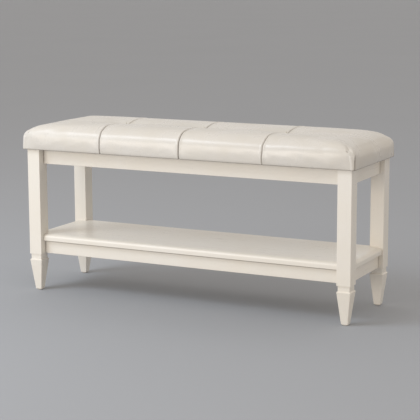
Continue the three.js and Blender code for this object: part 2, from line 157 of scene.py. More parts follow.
def points_of(piece):
    co = np.empty(len(piece.data.vertices) * 3)
    piece.data.vertices.foreach_get("co", co)
    return co.reshape(-1, 3)


def set_points(piece, co):
    piece.data.vertices.foreach_set("co", np.asarray(co).ravel())
    piece.data.update()


def normals_of(piece):
    normals = np.empty(len(piece.data.vertices) * 3, dtype=np.float32)
    piece.data.vertex_normals.foreach_get("vector", normals)
    return normals.reshape(-1, 3).astype(float)


def smoothstep(value):
    value = np.clip(value, 0, 1)
    return value * value * (3 - 2 * value)


def bump(distance, width):
    """A smooth hill of height 1 at distance 0."""
    return np.exp(-((distance / width) ** 2))


# ---- Shader node groups ----
def new_group(name, inputs, outputs):
    """inputs and outputs are {name: (socket type, default)}."""
    group = bpy.data.node_groups.new(name, "ShaderNodeTree")
    for label, (kind, default) in inputs.items():
        socket = group.interface.new_socket(label, in_out="INPUT", socket_type=kind)
        if default is not None:
            socket.default_value = default
    for label, kind in outputs.items():
        group.interface.new_socket(label, in_out="OUTPUT", socket_type=kind)
    start = group.nodes.new("NodeGroupInput")
    end = group.nodes.new("NodeGroupOutput")
    return group, start, end


def feed(tree, node, links):
    """Links or sets a node's inputs, by name or index."""
    for key, value in links.items():
        if isinstance(value, bpy.types.NodeSocket):
            tree.links.new(value, node.inputs[key])
        else:
            node.inputs[key].default_value = value
    return node


def add_node(tree, kind, links=None, **settings):
    """Adds a node, sets its properties, and feeds its inputs."""
    node = tree.nodes.new(kind)
    for key, value in settings.items():
        setattr(node, key, value)
    return feed(tree, node, links or {})


def maths(tree, operation, a, b=0.0, c=0.0):
    return add_node(tree, "ShaderNodeMath", {0: a, 1: b, 2: c}, operation=operation).outputs[0]


def vector_maths(tree, operation, links):
    return add_node(tree, "ShaderNodeVectorMath", links, operation=operation).outputs[0]


def add_noise(tree, vector, scale, detail):
    links = {"Vector": vector, "Scale": scale, "Detail": detail}
    return add_node(tree, "ShaderNodeTexNoise", links)


def remap(tree, value, low, high, new_low=0.0, new_high=1.0):
    links = {"Value": value, "From Min": low, "From Max": high, "To Min": new_low, "To Max": new_high}
    return add_node(tree, "ShaderNodeMapRange", links).outputs["Result"]


def mix_colour(tree, factor, a, b):
    links = {0: factor, 6: a, 7: b}
    return add_node(tree, "ShaderNodeMix", links, data_type="RGBA").outputs[2]


FLOAT, VECTOR = "NodeSocketFloat", "NodeSocketVector"
# painted shade: the brown that the paint is darkened towards in the joints and under the shelf
JOINT_PAINTED_SHADE = (0.16, 0.105, 0.06, 1.0)
# painted shade: the deep brown that the seams, pleat gaps and bottom edge of the leather are darkened
# towards
PAINTED_SEAM_SHADE = (0.11, 0.072, 0.042, 1.0)


def leather_grain_group():
    """Rounded pebbles about a millimetre across, with finer pores and slow unevenness."""
    inputs = {"Vector": (VECTOR, None), "Pebbles per metre": (FLOAT, 900.0)}
    outputs = {"Height": FLOAT, "Unevenness": FLOAT}
    group, start, end = new_group("leather_grain", inputs, outputs)
    vector, scale = start.outputs["Vector"], start.outputs["Pebbles per metre"]
    bend = add_noise(group, vector, 260.0, 2.0)
    shift = vector_maths(group, "SCALE", {0: bend.outputs["Color"], 3: 0.0012})
    bent = vector_maths(group, "ADD", {0: vector, 1: shift})
    links = {"Vector": bent, "Scale": scale, "Smoothness": 0.6}
    cells = add_node(group, "ShaderNodeTexVoronoi", links, feature="SMOOTH_F1")
    pores = add_noise(group, vector, 2600.0, 1.0)
    slow = add_noise(group, vector, 14.0, 3.0)
    pebble = remap(group, cells.outputs["Distance"], 0.1, 0.75, 1.0, 0.0)
    height = maths(group, "MULTIPLY_ADD", pores.outputs["Fac"], 0.25, pebble)
    feed(group, end, {"Height": height, "Unevenness": slow.outputs["Fac"]})
    return group


def paint_film_group():
    """A sprayed film: orange-peel ripple, long faint brush drag, and slow tone drift."""
    inputs = {"Vector": (VECTOR, None), "Drag": (VECTOR, (1.0, 1.0, 1.0))}
    outputs = {"Height": FLOAT, "Drift": FLOAT}
    group, start, end = new_group("paint_film", inputs, outputs)
    vector = start.outputs["Vector"]
    dragged = vector_maths(group, "MULTIPLY", {0: vector, 1: start.outputs["Drag"]})
    peel = add_noise(group, vector, 420.0, 1.0)
    brush = add_noise(group, dragged, 150.0, 3.0)
    drift = add_noise(group, vector, 5.0, 4.0)
    height = maths(group, "ADD", peel.outputs["Fac"], brush.outputs["Fac"])
    feed(group, end, {"Height": height, "Drift": drift.outputs["Fac"]})
    return group


def joint_shade_group():
    """Painted shade in the joints: where rails meet the legs, and under the shelf."""
    inputs = {"Vector": (VECTOR, None), "Width": (FLOAT, 0.0026)}
    inputs |= {f"Joint {axis}": (FLOAT, 1.0) for axis in "XYZ"}
    group, start, end = new_group("joint_shade", inputs, {"Shade": FLOAT})
    split = add_node(group, "ShaderNodeSeparateXYZ", {0: start.outputs["Vector"]})
    shade = 0.0
    for axis in "XYZ":
        reach = maths(group, "ABSOLUTE", split.outputs[axis])
        away = maths(group, "SUBTRACT", reach, start.outputs[f"Joint {axis}"])
        away = maths(group, "ABSOLUTE", away)
        full = maths(group, "MULTIPLY", start.outputs["Width"], 0.6)
        near = remap(group, away, full, start.outputs["Width"], 1.0, 0.0)
        shade = maths(group, "MAXIMUM", near, shade)
    feed(group, end, {"Shade": shade})
    return group


def timber_grain_group():
    """Long growth-ring figure with short flecks, run along the stretched axis."""
    inputs = {"Vector": (VECTOR, None), "Stretch": (VECTOR, (1.0, 1.0, 1.0))}
    outputs = {"Figure": FLOAT, "Flecks": FLOAT}
    group, start, end = new_group("timber_grain", inputs, outputs)
    along = vector_maths(group, "MULTIPLY", {0: start.outputs["Vector"], 1: start.outputs["Stretch"]})
    links = {"Vector": along, "Scale": 22.0, "Distortion": 7.0, "Detail": 3.0, "Detail Scale": 1.6}
    rings = add_node(group, "ShaderNodeTexWave", links)
    flecks = add_noise(group, along, 480.0, 2.0)
    flecks = remap(group, flecks.outputs["Fac"], 0.55, 0.75)
    feed(group, end, {"Figure": rings.outputs["Fac"], "Flecks": flecks})
    return group


def weave_group():
    """Plain over-and-under weave in the object's X and Y."""
    inputs = {"Vector": (VECTOR, None), "Threads per metre": (FLOAT, 900.0)}
    group, start, end = new_group("plain_weave", inputs, {"Height": FLOAT})
    split = add_node(group, "ShaderNodeSeparateXYZ", {0: start.outputs["Vector"]})
    turns = maths(group, "MULTIPLY", start.outputs["Threads per metre"], math.pi)
    waves = [
        maths(group, "SINE", maths(group, "MULTIPLY", split.outputs[axis], turns)) for axis in "XY"
    ]
    feed(group, end, {"Height": maths(group, "MULTIPLY", *waves)})
    return group


def new_material(name):
    material = bpy.data.materials.new(name)
    material.use_nodes = True
    tree = material.node_tree
    tree.nodes.clear()
    output = tree.nodes.new("ShaderNodeOutputMaterial")
    shader = tree.nodes.new("ShaderNodeBsdfPrincipled")
    tree.links.new(shader.outputs[0], output.inputs["Surface"])
    place = add_node(tree, "ShaderNodeTexCoord").outputs["Object"]
    return material, tree, shader, place


def use_group(tree, name, links):
    return add_node(tree, "ShaderNodeGroup", links, node_tree=bpy.data.node_groups[name])


def set_bump(tree, shader, height, strength, distance):
    links = {"Height": height, "Strength": strength, "Distance": distance}
    feed(tree, shader, {"Normal": add_node(tree, "ShaderNodeBump", links).outputs["Normal"]})


def rgba(colour, factor=1.0):
    return tuple(channel * factor for channel in colour) + (1.0,)


def paint_material(name, drag, colour, joints=None):
    """Satin ivory paint on wood.

    drag stretches the film along the wood, and joints gives the places of the joints
    that get painted shade, as {axis: distance from the middle or the floor}."""
    material, tree, shader, place = new_material(name)
    film = use_group(tree, "paint_film", {"Vector": place, "Drag": drag})
    drift = remap(tree, film.outputs["Drift"], 0.3, 0.7)
    warm = rgba((colour[0] * 0.985, colour[1] * 0.965, colour[2] * 0.93))
    base = mix_colour(tree, drift, rgba(colour), warm)
    if joints:
        links = {"Vector": place} | {f"Joint {axis}": value for axis, value in joints.items()}
        shade = use_group(tree, "joint_shade", links).outputs["Shade"]
        # painted shade: darkens the paint in the joints where rails meet the legs and under the shelf
        base = mix_colour(tree, maths(tree, "MULTIPLY", shade, 0.7), base, JOINT_PAINTED_SHADE)
    rough = remap(tree, film.outputs["Height"], 0.6, 1.4, 0.26, 0.34)
    coat = {"Coat Weight": 0.2, "Coat Roughness": 0.22}
    feed(tree, shader, {"Base Color": base, "Roughness": rough, "Specular IOR Level": 0.45} | coat)
    set_bump(tree, shader, film.outputs["Height"], 0.05, 0.0003)
    return material


def leather_material(colour):
    """Soft ivory leather: pebble grain, uneven polish, and painted shade in the seams, the pleat gaps
    and along the bottom edge.
    """
    material, tree, shader, place = new_material("seat_leather")
    grain = use_group(tree, "leather_grain", {"Vector": place})
    uneven = remap(tree, grain.outputs["Unevenness"], 0.3, 0.7)
    deep = rgba((colour[0] * 0.96, colour[1] * 0.945, colour[2] * 0.91))
    base = mix_colour(tree, uneven, rgba(colour), deep)
    valley = remap(tree, grain.outputs["Height"], 0.1, 0.5, 0.5, 0.0)
    base = mix_colour(tree, valley, base, rgba(colour, 0.86))
    # painted shade: the seam_shade attribute darkens the leather in the seams, the pleat gaps and along
    # the bottom edge
    seam = add_node(tree, "ShaderNodeAttribute", attribute_name="seam_shade").outputs["Fac"]
    base = mix_colour(tree, seam, base, PAINTED_SEAM_SHADE)
    rough = remap(tree, grain.outputs["Unevenness"], 0.3, 0.7, 0.24, 0.33)
    sheen = {"Sheen Weight": 0.04, "Sheen Roughness": 0.5}
    feed(tree, shader, {"Base Color": base, "Roughness": rough, "Specular IOR Level": 0.5} | sheen)
    set_bump(tree, shader, grain.outputs["Height"], 0.11, 0.0003)
    return material


def timber_material(name, stretch, colour):
    """Bare beech, with its figure run along the stretched axis."""
    dark, roughness = 0.72, 0.62
    material, tree, shader, place = new_material(name)
    grain = use_group(tree, "timber_grain", {"Vector": place, "Stretch": stretch})
    base = mix_colour(tree, grain.outputs["Figure"], rgba(colour), rgba(colour, dark))
    flecks = maths(tree, "MULTIPLY", grain.outputs["Flecks"], 0.4)
    base = mix_colour(tree, flecks, base, rgba(colour, 0.5))
    rough = remap(tree, grain.outputs["Flecks"], 0.0, 1.0, roughness, roughness + 0.15)
    feed(tree, shader, {"Base Color": base, "Roughness": rough})
    set_bump(tree, shader, grain.outputs["Figure"], 0.15, 0.0003)
    return material


def plywood_material():
    """Plies show as stripes in the board's thickness; the faces show veneer figure."""
    material, tree, shader, place = new_material("board_plywood")
    grain = use_group(tree, "timber_grain", {"Vector": place, "Stretch": (0.12, 1.0, 0.4)})
    split = add_node(tree, "ShaderNodeSeparateXYZ", {0: place})
    ply_count = 7
    turns = ply_count * math.pi / (BOARD_HIGH.z - BOARD_LOW.z)
    stripes = maths(tree, "SINE", maths(tree, "MULTIPLY", split.outputs["Z"], turns))
    stripes = remap(tree, stripes, -0.3, 0.3)
    light, dark = (0.55, 0.40, 0.24, 1.0), (0.36, 0.23, 0.12, 1.0)
    base = mix_colour(tree, grain.outputs["Figure"], light, (0.47, 0.33, 0.19, 1.0))
    face = add_node(tree, "ShaderNodeNewGeometry").outputs["Normal"]
    upright = maths(tree, "ABSOLUTE", add_node(tree, "ShaderNodeSeparateXYZ", {0: face}).outputs["Z"])
    edge = maths(tree, "MULTIPLY", stripes, remap(tree, upright, 0.3, 0.7, 1.0, 0.0))
    base = mix_colour(tree, edge, base, dark)
    rough = remap(tree, grain.outputs["Flecks"], 0.0, 1.0, 0.7, 0.85)
    feed(tree, shader, {"Base Color": base, "Roughness": rough})
    set_bump(tree, shader, grain.outputs["Figure"], 0.2, 0.0003)
    return material


def woven_material(name, colour, threads, roughness):
    """Plain-woven cloth or twine, paler where a thread lies on top."""
    material, tree, shader, place = new_material(name)
    weave = use_group(tree, "plain_weave", {"Vector": place, "Threads per metre": threads})
    tone = remap(tree, weave.outputs["Height"], -1.0, 1.0)
    base = mix_colour(tree, tone, rgba(colour, 0.6), rgba(colour, 1.2))
    rough = remap(tree, tone, 0.0, 1.0, roughness, roughness - 0.1)
    feed(tree, shader, {"Base Color": base, "Roughness": rough})
    set_bump(tree, shader, weave.outputs["Height"], 0.4, 0.0002)
    return material


def moulded_material(name, colour, roughness):
    """Moulded nylon or foam, with a faint skin texture."""
    material, tree, shader, place = new_material(name)
    film = use_group(tree, "paint_film", {"Vector": place, "Drag": (3.0, 3.0, 3.0)})
    tone = remap(tree, film.outputs["Drift"], 0.3, 0.7)
    base = mix_colour(tree, tone, rgba(colour), rgba(colour, 0.9))
    rough = remap(tree, film.outputs["Height"], 0.6, 1.4, roughness - 0.06, roughness)
    feed(tree, shader, {"Base Color": base, "Roughness": rough})
    set_bump(tree, shader, film.outputs["Height"], 0.15, 0.0002)
    return material


def plated_material(name, colour):
    """Plated steel, a little brushed and uneven."""
    material, tree, shader, place = new_material(name)
    film = use_group(tree, "paint_film", {"Vector": place, "Drag": (12.0, 12.0, 2.0)})
    tone = remap(tree, film.outputs["Height"], 0.7, 1.3)
    base = mix_colour(tree, tone, rgba(colour), rgba(colour, 0.75))
    rough = remap(tree, tone, 0.0, 1.0, 0.25, 0.42)
    feed(tree, shader, {"Base Color": base, "Roughness": rough, "Metallic": 1.0})
    set_bump(tree, shader, film.outputs["Height"], 0.1, 0.0001)
    return material


def build_groups():
    makers = (leather_grain_group, paint_film_group, joint_shade_group, timber_grain_group, weave_group)
    for make in makers:
        make()


def finish_node(name, material):
    """Gives a node of the frame its material; its mesh and place stay as they are."""
    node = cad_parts[name]
    node.data.materials.clear()
    node.data.materials.append(material)


def nodes_named(*starts):
    return sorted(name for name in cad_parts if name.startswith(starts))


# ---- The seat's smaller sizes, in metres unless a comment says otherwise ----
PANEL_CELLS, ROW_CELLS, SIDE_CELLS = 48, 28, 14  # grid cells in a panel, half the depth and the height
FRONT_TUCK, END_TUCK = 0.005, 0.003  # how far the sides tuck in at the bottom
FRONT_WIDEST, END_WIDEST = 0.035, 0.029  # height at which they are widest
FRONT_SQUARENESS, END_SQUARENESS = 2.65, 2.25  # powers of the rolls' superellipses
END_DROP = 0.002  # how much lower the crown is at the ends
ROLL_MERGE = 2.2  # power by which the two rolls merge over a corner
CORNER_LIP = 0.0006  # how far a side may stand past the bottom edge beside a corner
CORNER_BLEND = 0.06  # stretch over which the front and end sections merge
CORNER_STRAIGHT = 0.032  # stretch that the pleats hold straight
CORNER_RADIUS_LOW, CORNER_RADIUS_TOP = 0.006, 0.020
TUFT_REACH_X, TUFT_REACH_Y = 0.045, 0.034
SWELL_FRAMES = 20
# each seam's strength scales both its groove depth and the painted shade in its valley
SEAM_STRENGTHS = (0.9, 1.0, 0.7)  # the third seam is sewn more lightly
GROOVE_WIDTH = 0.0016
STITCH_LENGTH = 0.0075
PLEAT_HEIGHT = 0.68 * SEAT_HEIGHT
TURN_IN_MARGIN = 0.004  # from the dust cover to the inner edge of the turned-in leather


# ---- The seat ----
def profile(half, edge_tuck, widest, roll, height, power):
    """Half a section of the seat, from the bottom edge to the inner end of the roll.

    It tucks in below its widest height and rolls over in a superellipse. The points
    come back evenly spaced along the curve, as arrays of reach and height."""
    turn_under, turn_radius = 0.0012, 0.0015
    up = np.linspace(0, widest, 40, endpoint=False)
    side = half - edge_tuck * (1 - np.sin(math.pi / 2 * up / widest))
    side -= turn_under * np.clip(1 - up / turn_radius, 0, 1) ** 2
    angle = np.linspace(0, math.pi / 2, 120)
    over = half - roll + roll * np.cos(angle) ** (2 / power)
    rise = widest + (height - widest) * np.sin(angle) ** (2 / power)
    reach, level = np.concatenate([side, over]), np.concatenate([up, rise])
    length = np.concatenate([[0], np.cumsum(np.hypot(np.diff(reach), np.diff(level)))])
    even = np.linspace(0, length[-1], 400)
    return np.interp(even, length, reach), np.interp(even, length, level)


def follow(curve, share):
    share = np.clip(share, 0, 1) * (len(curve[0]) - 1)
    index = np.arange(len(curve[0]))
    return np.interp(share, index, curve[0]), np.interp(share, index, curve[1])


def spread(values, stops, crowding=0.5):
    """Moves evenly spaced values so that they crowd towards each stop."""
    result = np.array(values)
    for start, stop in zip(stops[:-1], stops[1:]):
        inside = (values >= start - 1e-9) & (values <= stop + 1e-9)
        share = (values[inside] - start) / (stop - start)
        share = share - crowding * np.sin(2 * math.pi * share) / (2 * math.pi)
        result[inside] = start + (stop - start) * share
    return result


def round_corner(x, y, half_x, half_y, radius):
    """Turns the square corner of an outline into an arc of the given radius."""
    over_x = np.abs(x) - (half_x - radius)
    over_y = np.abs(y) - (half_y - radius)
    inside = (over_x > 0) & (over_y > 0)
    reach = np.hypot(over_x, over_y)
    scale = np.where(inside, np.maximum(over_x, over_y) / np.maximum(reach, 1e-9), 1.0)
    new_x = np.where(inside, (half_x - radius + over_x * scale) * np.sign(x), x)
    new_y = np.where(inside, (half_y - radius + over_y * scale) * np.sign(y), y)
    return new_x, new_y


def seat_grid():
    """An open-bottomed box whose faces are cut into a regular grid."""
    low = (-SEAT_HALF_LENGTH, -SEAT_HALF_DEPTH, 0)
    high = (SEAT_HALF_LENGTH, SEAT_HALF_DEPTH, SEAT_HEIGHT)
    piece = add_box("seat_cushion", low, high)
    bpy.ops.object.mode_set(mode="EDIT")
    panels = len(TUFT_X) + 1
    for axis, cells in enumerate((panels * PANEL_CELLS, 2 * ROW_CELLS, SIDE_CELLS)):
        mesh = bmesh.from_edit_mesh(piece.data)
        bpy.ops.mesh.select_all(action="DESELECT")
        for edge in mesh.edges:
            run = edge.verts[1].co - edge.verts[0].co
            edge.select_set(abs(run[axis]) > 0.9 * run.length)
        bmesh.update_edit_mesh(piece.data)
        bpy.ops.mesh.subdivide(number_cuts=cells - 1)
    mesh = bmesh.from_edit_mesh(piece.data)
    bpy.ops.mesh.select_mode(type="FACE")
    bpy.ops.mesh.select_all(action="DESELECT")
    for face in mesh.faces:
        face.select_set(all(vert.co.z < 1e-6 for vert in face.verts))
    bmesh.update_edit_mesh(piece.data)
    bpy.ops.mesh.delete(type="FACE")
    bpy.ops.object.mode_set(mode="OBJECT")
    return piece


def lay_out(piece):
    """The places of the grid's points on the flat box, with the lines crowded at the seams."""
    panels = len(TUFT_X) + 1
    box = points_of(piece)
    even_x = (box[:, 0] / SEAT_HALF_LENGTH + 1) / 2 * panels
    whole = np.arange(panels + 1.0)
    stops = [-SEAT_HALF_LENGTH, *TUFT_X, SEAT_HALF_LENGTH]
    box[:, 0] = np.interp(spread(even_x, whole), whole, stops)
    box[:, 1] = spread(box[:, 1], (-SEAT_HALF_DEPTH, 0, SEAT_HALF_DEPTH))
    return box


def seam_distances(box):
    """Distances on the flat box to the nearest cross seam and to the lengthwise seam."""
    across = np.min([np.abs(box[:, 0] - tuft) for tuft in TUFT_X], axis=0)
    return across, np.abs(box[:, 1])


def edge_distances(box):
    """Distances on the flat box to the nearest end and to the nearest long side."""
    return SEAT_HALF_LENGTH - np.abs(box[:, 0]), SEAT_HALF_DEPTH - np.abs(box[:, 1])


def bulge(reach, curve):
    """How far a side stands past its bottom edge."""
    return np.maximum(reach - curve[0][0] - CORNER_LIP, 0)


def seat_form(piece, settings):
    """Shapes the grid to the seat as its seams hold it, before the panels swell.

    Returns each point's place on the flat box, which the seams are laid out in."""
    height = settings.seam_height
    front = profile(
        SEAT_HALF_DEPTH, FRONT_TUCK, FRONT_WIDEST, settings.roll_front, height, FRONT_SQUARENESS)
    end = profile(
        SEAT_HALF_LENGTH, END_TUCK, END_WIDEST, settings.roll_end, height - END_DROP, END_SQUARENESS)
    front_path, end_path = SEAT_HEIGHT + settings.roll_front, SEAT_HEIGHT + settings.roll_end
    box = lay_out(piece)
    in_x, in_y = edge_distances(box)
    level = box[:, 2] / SEAT_HEIGHT
    blend = level**2
    is_top = level >= 1 - 1e-6
    is_front = ~is_top & (in_y < 1e-6)
    # the sections that each point lies on
    path_x = box[:, 2] + np.where(level < 1, 0, in_x)
    path_y = box[:, 2] + np.where(level < 1, 0, in_y)
    reach_front, rise_front = follow(front, path_y / front_path)
    reach_end, rise_end = follow(end, path_x / end_path)
    # the top
    over_x, over_y = (SEAT_HEIGHT + in_x) / end_path, (SEAT_HEIGHT + in_y) / front_path
    top_x, top_rise_x = follow(end, over_x)
    top_y, top_rise_y = follow(front, over_y)
    top_x = np.where(over_x < 1, top_x, np.abs(box[:, 0]))
    top_y = np.where(over_y < 1, top_y, np.abs(box[:, 1]))
    drop_x, drop_y = end[1][-1] - top_rise_x, front[1][-1] - top_rise_y
    drop = (drop_x**ROLL_MERGE + drop_y**ROLL_MERGE) ** (1 / ROLL_MERGE)
    # the front and back faces
    near_end = 0.5 * smoothstep(1 - in_x / CORNER_BLEND)
    x = np.abs(box[:, 0]) / SEAT_HALF_LENGTH * (reach_end - bulge(reach_end, end))
    x_front = x * (1 - blend) + top_x * blend
    z_front = rise_front * (1 - near_end) + rise_end * near_end - blend * (drop - drop_y)
    # the two ends
    near_front = 0.5 * smoothstep(1 - in_y / CORNER_BLEND)
    y = np.abs(box[:, 1]) / SEAT_HALF_DEPTH * (reach_front - bulge(reach_front, front))
    y_end = y * (1 - blend) + top_y * blend
    z_end = rise_end * (1 - near_front) + rise_front * near_front - blend * (drop - drop_x)
    # the pleats hold the four corners straight, without the bulge of the sides between them
    held_front = reach_front - bump(in_x, CORNER_STRAIGHT) * bulge(reach_front, front)
    held_end = reach_end - bump(in_y, CORNER_STRAIGHT) * bulge(reach_end, end)
    new_x = np.where(is_top, top_x, np.where(is_front, x_front, held_end)) * np.sign(box[:, 0])
    new_y = np.where(is_top, top_y, np.where(is_front, held_front, y_end)) * np.sign(box[:, 1])
    new_z = np.where(is_top, front[1][-1] - drop, np.where(is_front, z_front, z_end))
    # the rounding of the corners in plan
    rim_x, rim_y = follow(end, SEAT_HEIGHT / end_path)[0], follow(front, SEAT_HEIGHT / front_path)[0]
    outline_x = np.where(is_top, rim_x, np.minimum(held_end, end[0][0] + CORNER_LIP))
    outline_y = np.where(is_top, rim_y, np.minimum(held_front, front[0][0] + CORNER_LIP))
    radius = CORNER_RADIUS_LOW + (CORNER_RADIUS_TOP - CORNER_RADIUS_LOW) * level**2
    new_x, new_y = round_corner(new_x, new_y, outline_x, outline_y, radius)
    for tuft in TUFT_X:
        away = np.hypot((new_x - tuft) / TUFT_REACH_X, new_y / TUFT_REACH_Y)
        new_z -= np.where(is_top, settings.tuft_depth * np.exp(-(away**1.6)), 0)
    set_points(piece, np.stack([new_x, new_y, new_z + SEAT_BOTTOM], axis=1))
    return box


def hold_of(box):
    """How firmly each point is held, by the seams, the bottom edge and the corner pleats."""
    on_seam, tuft_reach, bottom_reach, corner_reach, corner_height = 1e-4, 0.07, 0.016, 0.016, 0.075
    across, along = seam_distances(box)
    seams = np.where(across < on_seam, 1.0, 0)
    lengthwise = 0.05 + 0.95 * bump(across, tuft_reach)
    seams = np.maximum(seams, np.where(along < on_seam, lengthwise, 0))
    bottom = np.clip(1 - box[:, 2] / bottom_reach, 0, 1)
    corners = bump(np.hypot(*edge_distances(box)), corner_reach)
    corners = corners * smoothstep((corner_height - box[:, 2]) / 0.02)
    return np.maximum(np.maximum(seams, bottom), corners)


def swell(piece, box, settings):
    """Blows up the panels between the held seams with a cloth simulation, then caps the motion."""
    rest = points_of(piece)
    hold = hold_of(box)
    group = piece.vertex_groups.new(name="held")
    for index in np.nonzero(hold)[0]:
        group.add([int(index)], float(hold[index]), "REPLACE")
    cloth = piece.modifiers.new("swell", "CLOTH")
    cloth.settings.quality = 8
    cloth.settings.mass = 0.4
    cloth.settings.tension_stiffness = 40
    cloth.settings.compression_stiffness = 40
    cloth.settings.shear_stiffness = 10
    cloth.settings.bending_stiffness = 1.5
    cloth.settings.use_pressure = True
    cloth.settings.uniform_pressure_force = 4
    cloth.settings.shrink_min = -settings.slack
    cloth.settings.vertex_group_mass = "held"
    cloth.settings.pin_stiffness = 4
    cloth.settings.effector_weights.gravity = 0
    cloth.point_cache.frame_start, cloth.point_cache.frame_end = 1, SWELL_FRAMES
    scene = bpy.context.scene
    for step in range(1, SWELL_FRAMES + 1):
        scene.frame_set(step)
    activate(piece)
    bpy.ops.object.modifier_apply(modifier="swell")
    scene.frame_set(1)
    move = points_of(piece) - rest
    size = np.linalg.norm(move, axis=1)
    softness = 1.15
    capped = settings.puff * np.tanh(softness * size / np.percentile(size, 99)) / np.tanh(softness)
    set_points(piece, rest + move * (capped / np.maximum(size, 1e-9))[:, None])
    piece.vertex_groups.clear()


def store(piece, name, values):
    layer = piece.data.attributes.new(name, "FLOAT", "POINT")
    layer.data.foreach_set("value", np.asarray(values, dtype=np.float32))


def read(piece, name):
    values = np.empty(len(piece.data.vertices), dtype=np.float32)
    piece.data.attributes[name].data.foreach_get("value", values)
    return values.astype(float)


def read_box(piece):
    """Each point's place on the flat box, as stored before the mesh was made finer."""
    return np.stack([read(piece, f"box_{axis}") for axis in "xyz"], axis=1)


def refine(piece):
    """Cuts the strips beside the cross seams and the four corners finer, ready for sewing."""
    strip, corner = 0.0075, 0.024
    box = read_box(piece)
    in_strip = seam_distances(box)[0] < strip
    in_x, in_y = edge_distances(box)
    in_corner = (in_x < corner) & (in_y < corner)
    for picked, way in ((in_strip, 0), (in_corner, None)):
        activate(piece)
        bpy.ops.object.mode_set(mode="EDIT")
        bpy.ops.mesh.select_mode(type="EDGE")
        mesh = bmesh.from_edit_mesh(piece.data)
        mesh.verts.ensure_lookup_table()
        bpy.ops.mesh.select_all(action="DESELECT")
        for edge in mesh.edges:
            start, stop = (vert.index for vert in edge.verts)
            if start >= len(picked) or stop >= len(picked):
                continue
            runs = way is None or abs(box[start][way] - box[stop][way]) > 1e-5
            edge.select_set(bool(picked[start] and picked[stop] and runs))
        bmesh.update_edit_mesh(piece.data)
        bpy.ops.mesh.subdivide(number_cuts=2 if way is None else 1)
        bpy.ops.object.mode_set(mode="OBJECT")


def groove(distance, depth, width, lip):
    """A sewn groove: a narrow valley between two soft raised lips."""
    valley = depth * np.exp(-((np.abs(distance) / width) ** 1.5))
    shoulder = lip * bump(np.abs(distance) - 2.6 * width, 1.6 * width)
    return shoulder - valley


def sew_seams(box, settings):
    """The offset of the seam grooves, with their raised lips and puckers, and the painted shade in
    their valleys.
    """
    across, along = seam_distances(box)
    near_tuft = bump(across, 0.055)
    run = box[:, 1] + np.sign(box[:, 1]) * (SEAT_HEIGHT - box[:, 2])
    offset = np.zeros(len(box))
    shade = np.zeros(len(box))
    for tuft, strength in zip(TUFT_X, SEAM_STRENGTHS):
        distance = box[:, 0] - tuft
        offset += groove(distance, strength * settings.seam_depth, GROOVE_WIDTH, 0.0009)
        ripple = np.sin(2 * math.pi * run / STITCH_LENGTH)
        offset += 0.00018 * ripple * bump(np.abs(distance) - 0.0045, 0.003)
        # painted shade in the valley of each cross seam
        shade += 0.9 * strength * bump(distance, 0.0011)
    offset += near_tuft * groove(along, 0.0022, 0.0018, 0.0005)
    # painted shade in the lengthwise groove near the tufts
    shade += 0.30 * near_tuft * bump(along, 0.0014)
    return offset, shade


def fold_pleats(box):
    """The offset of the four corner pleats, and the painted shade in the gap behind each fold and in
    the dimple above it.

    The front leather wraps round the corner, and its folded edge stands over a gap.
    Above the fold the leather gathers, with a small dimple."""
    in_x, in_y = edge_distances(box)
    level = box[:, 2]
    on_end, on_front = in_x < 1e-5, in_y < 1e-5
    below_top = PLEAT_HEIGHT - level
    fade = smoothstep(below_top / 0.010)
    gap_line, fold_line, roll_line, crease_line = 0.0056, 0.0022, 0.0055, 0.0125
    gap_width = 0.0006 + 0.0021 * smoothstep(below_top / 0.03)
    gap = np.where(on_end, np.exp(-((np.abs(in_y - gap_line) / gap_width) ** 3)), 0) * fade
    edge = np.where(on_end, bump(in_y - fold_line, 0.002), 0) * fade
    roll = bump(in_x - roll_line, 0.0045) - 0.5 * bump(in_x - crease_line, 0.0018)
    roll = np.where(on_front, roll, 0) * fade
    around = np.where(on_front, -in_x, in_y)
    rise = level - 0.84 * SEAT_HEIGHT
    dimple = (on_end | on_front) * bump(np.hypot(around + 0.009, rise), 0.0032)
    fan = (on_end | on_front) * bump(np.hypot(around, rise + 0.004), 0.016)
    fan = fan * smoothstep((level - 0.4 * SEAT_HEIGHT) / 0.02)
    gathers = np.cos(11 * np.arctan2(rise + 0.012, around)) * fan
    offset = 0.0009 * edge - 0.0048 * gap + 0.0011 * roll - 0.0022 * dimple + 0.0004 * gathers
    # painted shade: dark in the gap behind the fold and in the dimple
    return offset, 0.9 * gap + 0.7 * dimple


def sew(piece, settings):
    """Moves the leather along its normals into the seams and pleats, and stores the painted shade of
    the seams and pleats, with a painted shadow line along the bottom edge.
    """
    box = read_box(piece)
    seam_offset, seam_shade = sew_seams(box, settings)
    pleat_offset, pleat_shade = fold_pleats(box)
    # painted shadow: a dark line over the lowest 3 mm, where the leather turns under
    bottom_edge_shadow = 0.9 * np.clip(1 - box[:, 2] / 0.003, 0, 1)
    offset = seam_offset + pleat_offset
    set_points(piece, points_of(piece) + normals_of(piece) * offset[:, None])
    store(piece, "seam_shade", np.clip(seam_shade + pleat_shade + bottom_edge_shadow, 0, 1))


